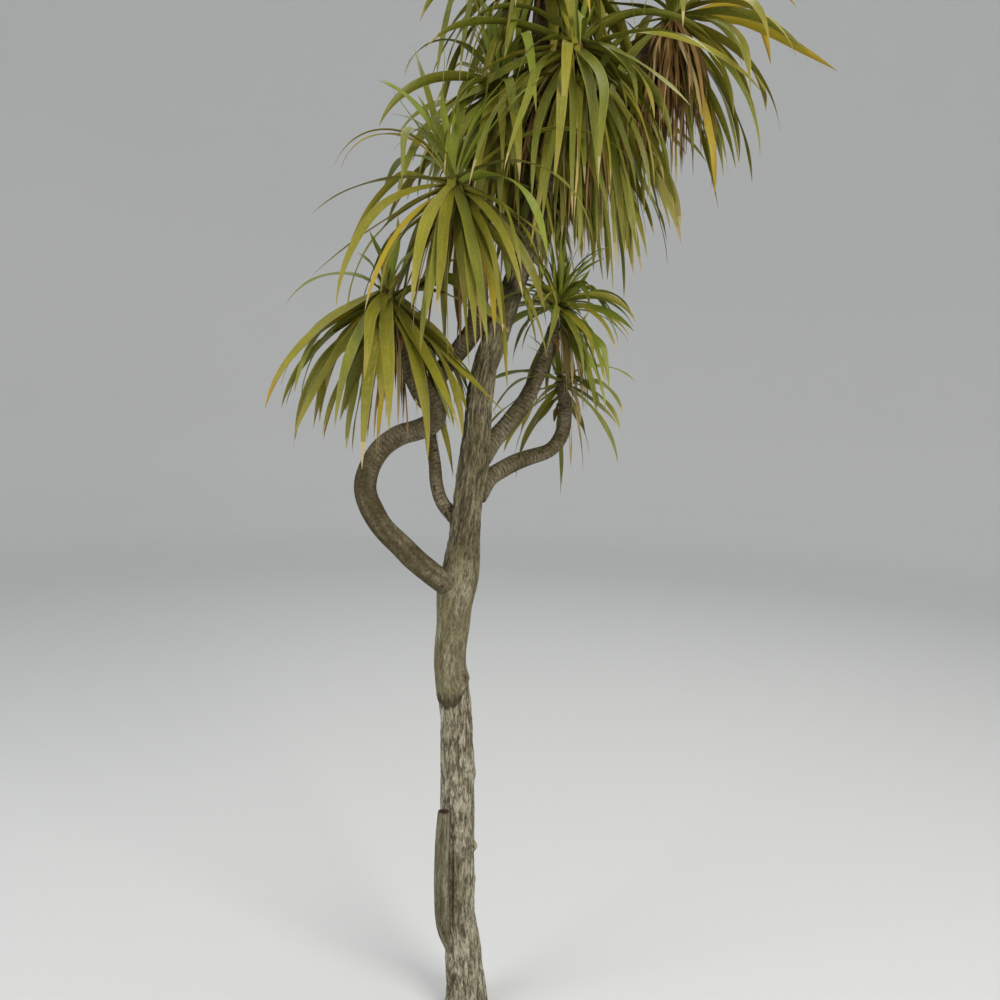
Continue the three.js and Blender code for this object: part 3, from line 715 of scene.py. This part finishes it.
# The leaves are straps up to half a metre long, fresh green and upright in the middle of a
# head, olive and hanging lower down, with yellow and dead ones among the oldest. Each blade
# is a closed, thin, channelled strap that clasps the stem, and many have a dried-out tip.
# A row of stands_out is one leaf of the photograph: [turn, length, slope at the stem, slope
# at the tip, kind], and for a leaf that is folded over, how far along the fold is, and for one
# that lies on its side, its roll. Young is how long the upright leaves are beside other heads',
# width how wide the leaves are beside them, bases how many dry leaf bases it has. Apart from
# those rows, no leaf hangs in the bare turns, and thin withered ones only in the dry turns.
HEADS = {
    "left_head": {
        "bough": "left_bough", "leaf": 0.385, "young": 0.7, "lowest": -62, "bare": (286, 359),
        "hanging": 38, "arching": 3, "upright": 5, "dead": 14, "straw": 14,
        "stands_out": (
            (285, 0.13, 86, 70, "yellow"), (20, 0.11, 74, 50, "yellow"), (240, 0.08, 70, 40, "straw"),
            (222, 0.37, -20, -60, "olive"), (225, 0.39, -40, -65, "olive"),
            (208, 0.39, -35, -83, "green"), (266, 0.48, -33, -74, "olive"),
            (254, 0.41, -28, -71, "green"), (277, 0.40, -25, -71, "olive"),
            (299, 0.41, -29, -88, "olive"), (305, 0.41, -34, -52, "olive"),
            (335, 0.36, -31, -58, "green"), (331, 0.39, -37, -38, "olive"),
            (351, 0.20, 39, 30, "green"), (6, 0.26, 20, -68, "olive"),
            (174, 0.20, -29, -29, "yellow"),
        ),
    },
    "centre_head": {
        "bough": "thin_left_bough", "leaf": 0.43, "lowest": -60, "width": 0.85,
        "hanging": 38, "arching": 6, "upright": 15, "dead": 12, "straw": 6,
        "stands_out": (
            (222, 0.40, -27, -42, "olive"), (208, 0.33, 0, -45, "olive"),
            (192, 0.33, 74, -69, "olive"), (189, 0.32, 70, -74, "yellow"),
            (151, 0.25, 79, 7, "green"), (122, 0.41, 62, 57, "green"),
            (89, 0.44, 86, 17, "green"), (359, 0.46, 61, -53, "olive"),
            (324, 0.43, 21, -78, "green"), (322, 0.28, -21, -41, "olive"),
            (298, 0.42, -19, -63, "olive"), (299, 0.40, -38, -70, "olive"),
            (280, 0.44, -35, -66, "olive"), (286, 0.45, -39, -71, "green"),
            (266, 0.38, -40, -70, "olive"), (262, 0.40, -46, -62, "green"),
        ),
    },
    "right_head": {
        "bough": "right_bough", "leaf": 0.25, "lowest": -46, "bare": (205, 290), "width": 0.62,
        "hanging": 30, "arching": 30, "upright": 34, "dead": 2, "straw": 26, "dry": (-75, 60),
        "bases": 3,
        # Many of its hanging leaves are of the light fresh kind, partly young leaves and partly
        # painted light on this head
        "kinds": ("fresh", "olive", "fresh", "green", "olive", "yellow", "fresh"),
        "stands_out": (
            (82, 0.24, 75, 68, "fresh"), (59, 0.22, 40, 34, "fresh"),
            (228, 0.27, 41, -51, "fresh"), (218, 0.21, 49, -60, "green"),
            (0, 0.21, 51, -74, "fresh"), (309, 0.23, -4, -72, "olive"),
            (282, 0.28, -4, -70, "green"),
        ),
    },
    "low_right_head": {
        "bough": "low_right_bough", "leaf": 0.25, "lowest": -58, "bare": (215, 335), "width": 0.75,
        "hanging": 7, "arching": 4, "upright": 8, "dead": 0, "straw": 6, "dry": (0, 150),
        "bases": 2,
        "stands_out": (
            (324, 0.20, 36, -74, "green"), (308, 0.21, -12, -40, "green"),
            (228, 0.27, 15, -55, "green"), (214, 0.25, -38, -87, "olive"),
            (205, 0.24, -10, -60, "olive"),
        ),
    },
    "top_left_head": {
        "bough": "top_left_bough", "leaf": 0.43, "lowest": -72, "width": 0.85,
        "hanging": 78, "arching": 9, "upright": 14, "dead": 24, "straw": 10,
        # Its hanging leaves are mostly of the dark green kind, as painted shade over the top of the
        # crown
        "kinds": ("green", "green", "olive"),
        "stands_out": ((275, 0.38, -17, -86, "olive"), (256, 0.36, -37, -69, "olive")),
    },
    "top_middle_head": {
        "bough": "top_middle_bough", "leaf": 0.48, "lowest": -76, "width": 0.8,
        "hanging": 100, "arching": 10, "upright": 14, "dead": 54, "straw": 14,
        # Its hanging leaves are mostly of the dark green kind, and so are most that stand out, as
        # painted shade over the top of the crown
        "kinds": ("green", "olive", "green"),
        "stands_out": (
            (312, 0.43, 11, -52, "green"), (302, 0.45, -21, -42, "green"),
            (275, 0.50, -30, -74, "green"), (313, 0.42, -26, -85, "olive"),
            (282, 0.46, -40, -88, "dead"), (296, 0.44, -44, -86, "dead"),
            (268, 0.48, -50, -88, "straw"), (318, 0.40, -40, -88, "dead"),
        ),
    },
    "top_right_head": {
        "bough": "top_right_bough", "leaf": 0.40, "lowest": -64, "bare": (225, 305), "width": 0.9,
        "hanging": 40, "arching": 12, "upright": 14, "dead": 150, "straw": 20,
        "stands_out": (
            (338, 0.40, -6, -36, "yellow", 0.35, -60), (318, 0.36, 10, -66, "olive"),
            (350, 0.32, 20, -78, "yellow", 0.55, -50),
            (266, 0.41, 28, -84, "green"), (262, 0.30, -30, -88, "dead"),
            (276, 0.27, -46, -86, "dead"), (290, 0.31, -38, -87, "dead"),
            (284, 0.24, -20, -88, "dead"), (270, 0.33, -52, -88, "dead"),
            (300, 0.28, -40, -89, "straw"), (254, 0.26, -44, -87, "dead"),
        ),
    },
    "back_left_head": {
        "bough": "back_left_bough", "leaf": 0.41, "lowest": -56,
        "hanging": 52, "arching": 14, "upright": 14, "dead": 18, "straw": 7,
    },
    "back_right_head": {
        "bough": "back_right_bough", "leaf": 0.40, "lowest": -56,
        "hanging": 52, "arching": 14, "upright": 14, "dead": 18, "straw": 7,
    },
    "summit_head": {
        "bough": "summit_bough", "leaf": 0.43, "lowest": -52,
        "hanging": 52, "arching": 16, "upright": 16, "dead": 10, "straw": 4,
    },
}
# Each sort of leaf: lowest and highest slope at the stem, the same at the tip, length and
# width as shares of the head's, how deep below the growing point it sits, and its kinds
LEAF_SORTS = {
    "upright": ((58, 87), (10, 74), (0.36, 0.72), (0.4, 0.65), (0.0, 0.012), ("fresh",)),
    "arching": ((0, 52), (-82, -40), (0.62, 0.98), (0.7, 1.05), (0.012, 0.030),
                ("fresh", "green", "green", "olive")),
    "hanging": ((None, -8), (-89, -74), (0.62, 1.06), (0.68, 1.12), (0.022, 0.075),
                ("olive", "olive", "green", "olive", "green", "olive", "green", "olive",
                 "yellow", "olive", "green", "olive", "green", "olive", "olive", "green",
                 "olive", "green", "olive", "olive", "green", "olive", "green", "olive")),
}
GOLDEN_TURN = math.radians(137.5)
LEAF_WIDTH = 0.030
STEM_RADIUS = 0.011
BLADE_STEPS = 26
DRY_FROM = 24
DRY_SHARE = 0.3
FOLDED_SHARE = 0.12
USUAL_BASES = 14
UNEVEN_TURN = 12
STRAIGHT_DOWN = -88
LEAF_SWAY = 26
LEAF_WAVE = (2, 13)
LEAF_ROLL = 40
LEAF_TWIST = 95
LEAF_RIPPLE = (3, 13)
PLACED_LOOSENESS = 0.25
WITHERED_LOOSENESS = 1.6
STRAND_LOOSENESS = 2.6
SECTION_ACROSS = np.array((-1, -0.5, 0, 0.5, 1, 0.5, 0, -0.5))
SECTION_LIFT = np.array((0, 0.8, 1, 0.8, 0, -0.8, -1.3, -0.8))

leaf_pieces = {kind: {"corners": [], "faces": [], "places": [], "tints": []}
               for kind in ("fresh", "green", "olive", "yellow", "dead", "brown", "straw")}


def add_strap(kind, rows, places, tint):
    """Adds one closed strap, given as rows of corners round its section."""
    piece = leaf_pieces[kind]
    first = sum(len(block) for block in piece["corners"])
    size = len(SECTION_ACROSS)
    for row in range(len(rows) - 1):
        for side in range(size):
            here, beside = first + row * size + side, first + row * size + (side + 1) % size
            piece["faces"].append((here, beside, beside + size, here + size))
    last = first + (len(rows) - 1) * size
    piece["faces"].append(tuple(range(first + size - 1, first - 1, -1)))
    piece["faces"].append(tuple(range(last, last + size)))
    piece["corners"].append(rows.reshape(-1, 3))
    piece["places"].append(places.reshape(-1, 2))
    piece["tints"].append(np.full(len(rows) * size, tint))


def add_leaf(root, turn, length, width, rise, fall, kind, dice, looseness=1.0, fold=None,
             roll=None):
    """One strap leaf, which leaves the stem at one slope and bends down to another. The
    looser it is, the more it sways, rolls and twists."""
    share = np.linspace(0, 1, BLADE_STEPS + 1)
    middles = (share[1:] + share[:-1]) / 2
    drop = middles ** (dice.uniform(0.95, 1.5) / max(looseness, 1))
    if fold:
        drop = 0.25 * drop + 0.75 / (1 + np.exp((fold - middles) / 0.02))
    slope = rise + (fall - rise) * drop
    sway = math.radians(dice.uniform(-LEAF_SWAY, LEAF_SWAY)) * looseness
    wave = math.radians(dice.uniform(*LEAF_WAVE)) * looseness
    phase = dice.uniform(0, 2 * math.pi)
    heading = turn + sway * share + wave * np.sin(2 * math.pi * 1.2 * share + phase)
    between = (heading[1:] + heading[:-1]) / 2
    ways = np.stack([np.cos(slope) * np.cos(between), np.cos(slope) * np.sin(between),
                     np.sin(slope)], 1)
    line = np.vstack([root, root + np.cumsum(ways, 0) * length / BLADE_STEPS])
    way = np.gradient(line, axis=0)
    way /= np.linalg.norm(way, axis=1)[:, None]
    flat = np.stack([-np.sin(heading), np.cos(heading), np.zeros_like(share)], 1)
    flat -= way * np.sum(flat * way, 1)[:, None]
    flat /= np.linalg.norm(flat, axis=1)[:, None]
    upper = np.cross(way, flat)
    roll = dice.uniform(-LEAF_ROLL, LEAF_ROLL) * looseness if roll is None else roll
    twist = math.radians(dice.uniform(-LEAF_TWIST, LEAF_TWIST)) * looseness
    ripple = math.radians(dice.uniform(*LEAF_RIPPLE)) * np.sin(2 * math.pi * 2.1 * share + 2 * phase)
    turned = math.radians(roll) * np.minimum(share / 0.12, 1) + twist * share ** 1.3 + ripple
    turned = turned[:, None]
    side = np.cos(turned) * flat + np.sin(turned) * upper
    upper = np.cos(turned) * upper - np.sin(turned) * flat
    # Widest at about 40 hundredths of its length, with a long taper to a fine point
    half = width / 2 * 2.55 * (share + 0.12) ** 0.7 * (1 - share) ** 0.95
    half = half + width * (0.10 * np.exp(-share / 0.03) + 0.010)
    channel = half * (0.16 + 0.6 * np.exp(-share / 0.14))
    thick = 0.0003 + 0.0006 * (1 - share) + 0.0013 * np.exp(-share / 0.05)
    rows = (
        line[:, None]
        + side[:, None] * (half[:, None] * SECTION_ACROSS)[:, :, None]
        + upper[:, None] * (
            channel[:, None] * np.abs(SECTION_ACROSS) ** 1.5 + thick[:, None] * SECTION_LIFT
        )[:, :, None]
    )
    places = np.stack(np.broadcast_arrays((SECTION_ACROSS + 1) / 2, share[:, None]), 2)
    tint = dice.random()
    if kind in ("fresh", "dead", "brown", "straw") or dice.random() > DRY_SHARE:
        add_strap(kind, rows, places, tint)
    else:
        dry = DRY_FROM + dice.choice((-1, 0, 0, 1))
        add_strap(kind, rows[:dry + 1], places[:dry + 1], tint)
        add_strap("straw", rows[dry:], places[dry:], tint)


def grow_head(head, dice):
    """The leaves of one head, from the oldest at the bottom to the youngest in the middle."""
    path = [np.array(point) for point in BOUGHS[head["bough"]]["path"]]
    hub = path[-1]
    down = (path[-2] - hub) / np.linalg.norm(path[-2] - hub)
    degrees = math.radians
    broad = LEAF_WIDTH * head.get("width", 1.0)
    turn = dice.uniform(0, 2 * math.pi)

    def place(turn, depth, radius=STEM_RADIUS):
        return hub + down * depth + radius * np.array((math.cos(turn), math.sin(turn), 0))

    for sort, (rises, falls, lengths, widths, depths, kinds) in LEAF_SORTS.items():
        lowest = head["lowest"] if rises[0] is None else rises[0]
        leaf = head["leaf"] * (head.get("young", 1.0) if sort == "upright" else 1.0)
        bare = head.get("bare", (0, 0)) if sort == "hanging" else (0, 0)
        kinds = head.get("kinds", kinds) if sort == "hanging" else kinds
        for order in range(head[sort]):
            turn += GOLDEN_TURN + degrees(dice.uniform(-UNEVEN_TURN, UNEVEN_TURN))
            if bare[0] < math.degrees(turn) % 360 < bare[1]:
                turn += degrees(bare[1] - bare[0])
            # The lower a leaf sits, the lower it starts
            low = (order + dice.random()) / head[sort]
            rise = rises[1] + (lowest - rises[1]) * low
            fold = dice.uniform(0.3, 0.6) if dice.random() < FOLDED_SHARE else None
            add_leaf(
                place(turn, depths[0] + (depths[1] - depths[0]) * low), turn,
                leaf * dice.uniform(*lengths), broad * dice.uniform(*widths),
                degrees(rise), degrees(min(dice.uniform(*falls), rise)),
                kinds[order % len(kinds)], dice, fold=fold,
            )
    for turn, length, rise, fall, kind, *fold in head.get("stands_out", ()):
        turn = degrees(turn)
        withered = kind in ("dead", "straw")
        add_leaf(
            place(turn, dice.uniform(0.01, 0.05)), turn, length,
            broad * (0.35 if withered else 1.0), degrees(rise), degrees(fall), kind, dice,
            WITHERED_LOOSENESS if withered else PLACED_LOOSENESS, *fold,
        )
    for withered, kinds, longest in (
        ("dead", ("brown", "dead", "brown"), 0.85), ("straw", ("straw",), 0.95),
    ):
        for order in range(head[withered]):
            turn = degrees(dice.uniform(*head.get("dry", (0, 360))))
            add_leaf(
                place(turn, dice.uniform(0.03, 0.085)), turn,
                head["leaf"] * dice.uniform(0.4, longest), LEAF_WIDTH * dice.uniform(0.14, 0.42),
                degrees(dice.uniform(-75, -15)), degrees(STRAIGHT_DOWN),
                kinds[order % len(kinds)], dice, STRAND_LOOSENESS,
            )
    # The dry bases of fallen leaves still clasp the stem below the head
    bases = head.get("bases", USUAL_BASES)
    for order in range(bases):
        turn = order * GOLDEN_TURN
        add_leaf(
            place(turn, 0.03 + 0.10 * order / bases, 1.25 * STEM_RADIUS), turn,
            dice.uniform(0.03, 0.065), LEAF_WIDTH * 0.5, degrees(dice.uniform(-70, -30)),
            degrees(-80), "brown", dice,
        )


for number, head in enumerate(HEADS.values()):
    grow_head(head, random.Random(7 + number))

# A leaf is finely veined, mottled in two greens and blotched, and withers from edge and tip
VEIN_SIZE = (70.0, 6.0, 1.0)
MOTTLE_SIZE = (3.0, 6.0, 1.0)
BLOTCH_SIZE = (3.0, 6.0, 1.0)
TINT_SHIFT = (40.0, 40.0, 40.0)
strap_group, given, result = add_group(
    "strap_leaf",
    (("Place", "Vector"), ("Tint", "Float"), ("Leaf Colour", "Color"), ("Second Colour", "Color"),
     ("Edge Colour", "Color"), ("Base Colour", "Color")),
    (("Colour", "Color"), ("Height", "Float")),
)
place, tint = given.outputs["Place"], given.outputs["Tint"]
veins = clouds(strap_group, times(strap_group, place, VEIN_SIZE), 2.0)
moved = add_node(strap_group, "CombineXYZ", i0=tint, i1=tint, i2=tint)
shifted = add_node(strap_group, "VectorMath", {"operation": "MULTIPLY_ADD"}, i0=moved.outputs[0],
                   i1=TINT_SHIFT, i2=times(strap_group, place, MOTTLE_SIZE)).outputs[0]
mottle = clouds(strap_group, shifted, 3.0)
mixed = reckon(strap_group, "MULTIPLY_ADD", mottle, 1.2, -0.45, clamp=True)
tinted = reckon(strap_group, "MULTIPLY_ADD", tint, 0.7, mixed, clamp=True)
leaf_face = blend(strap_group, tinted, given.outputs["Leaf Colour"],
                  given.outputs["Second Colour"])
blotch = clouds(strap_group, times(strap_group, shifted, BLOTCH_SIZE), 3.0)
leaf_face = blend(strap_group, ramp(strap_group, blotch, 0.52, 0.70, 0.0, 0.55), leaf_face,
                  given.outputs["Edge Colour"])
across, along, _ = add_node(strap_group, "SeparateXYZ", Vector=place).outputs
leaf_face = blend(strap_group, ramp(strap_group, along, 0.02, 0.16, 0.6, 0.0), leaf_face,
                  given.outputs["Base Colour"])
from_middle = reckon(strap_group, "ABSOLUTE", reckon(strap_group, "SUBTRACT", across, 0.5))
uneven = ramp(strap_group, mottle, 0.35, 0.65, 0.15, 0.75)
aged = reckon(strap_group, "ADD", ramp(strap_group, from_middle, 0.38, 0.5, 0.0, uneven),
              ramp(strap_group, along, 0.72, 1.0, 0.0, 0.55), clamp=True)
leaf_face = blend(strap_group, aged, leaf_face, given.outputs["Edge Colour"])
lit = reckon(strap_group, "MULTIPLY", ramp(strap_group, veins, 0.3, 0.7, 0.74, 1.22),
             ramp(strap_group, from_middle, 0.0, 0.05, 1.15, 1.0))
strap_group.links.new(scaled(strap_group, leaf_face, lit), result.inputs["Colour"])
strap_group.links.new(veins, result.inputs["Height"])

# Each finish: the leaf's two greens, its edge and tip, its base at the stem, its roughness
LEAF_FINISHES = {
    "fresh": ((0.128, 0.165, 0.014, 1), (0.205, 0.240, 0.026, 1), (0.28, 0.28, 0.05, 1),
              (0.22, 0.25, 0.06, 1), 0.42),
    "green": ((0.105, 0.118, 0.010, 1), (0.180, 0.188, 0.018, 1), (0.28, 0.25, 0.05, 1),
              (0.15, 0.15, 0.035, 1), 0.45),
    "olive": ((0.150, 0.145, 0.009, 1), (0.245, 0.225, 0.018, 1), (0.34, 0.26, 0.06, 1),
              (0.16, 0.14, 0.03, 1), 0.48),
    "yellow": ((0.440, 0.310, 0.016, 1), (0.340, 0.270, 0.020, 1), (0.38, 0.21, 0.02, 1),
               (0.22, 0.17, 0.04, 1), 0.5),
    "dead": ((0.195, 0.105, 0.030, 1), (0.270, 0.155, 0.048, 1), (0.32, 0.20, 0.07, 1),
             (0.10, 0.055, 0.02, 1), 0.85),
    "brown": ((0.120, 0.064, 0.018, 1), (0.190, 0.098, 0.026, 1), (0.25, 0.15, 0.05, 1),
              (0.07, 0.04, 0.015, 1), 0.85),
    "straw": ((0.420, 0.330, 0.140, 1), (0.300, 0.210, 0.075, 1), (0.44, 0.35, 0.17, 1),
              (0.26, 0.18, 0.07, 1), 0.8),
}
LEAF_FIELDS = (
    ("Place", "UVMap", {"uv_map": "along_leaf"}, 0),
    ("Tint", "Attribute", {"attribute_name": "leaf_tint"}, "Fac"),
)
skirts = [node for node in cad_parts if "_skirt_" in node]
tufts = [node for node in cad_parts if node.endswith("_tuft")]
for kind, (colour, second, edge_colour, base_colour, roughness) in LEAF_FINISHES.items():
    piece = leaf_pieces[kind]
    mesh = bpy.data.meshes.new(kind + "_leaves")
    mesh.from_pydata(np.vstack(piece["corners"]).tolist(), [], piece["faces"])
    loops = np.zeros(len(mesh.loops), np.int32)
    mesh.loops.foreach_get("vertex_index", loops)
    sheet = mesh.uv_layers.new(name="along_leaf")
    sheet.data.foreach_set("uv", np.vstack(piece["places"])[loops].ravel())
    mesh.attributes.new("leaf_tint", "FLOAT", "POINT").data.foreach_set(
        "value", np.concatenate(piece["tints"]))
    leaves = bpy.data.objects.new(kind + "_leaves", mesh)
    bpy.context.collection.objects.link(leaves)
    bpy.ops.object.select_all(action="DESELECT")
    bpy.context.view_layer.objects.active = leaves
    leaves.select_set(True)
    bpy.ops.object.shade_smooth_by_angle(angle=math.radians(50))
    colours = {"Leaf Colour": colour, "Second Colour": second, "Edge Colour": edge_colour,
               "Base Colour": base_colour}
    material, _, surface = show_group(strap_group, kind + "_leaf", colours, LEAF_FIELDS, 0.25,
                                      0.0006)
    surface.inputs["Roughness"].default_value = roughness
    leaves.data.materials.append(material)
    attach(leaves, "root")
    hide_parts(*(tufts if kind == "fresh" else skirts))
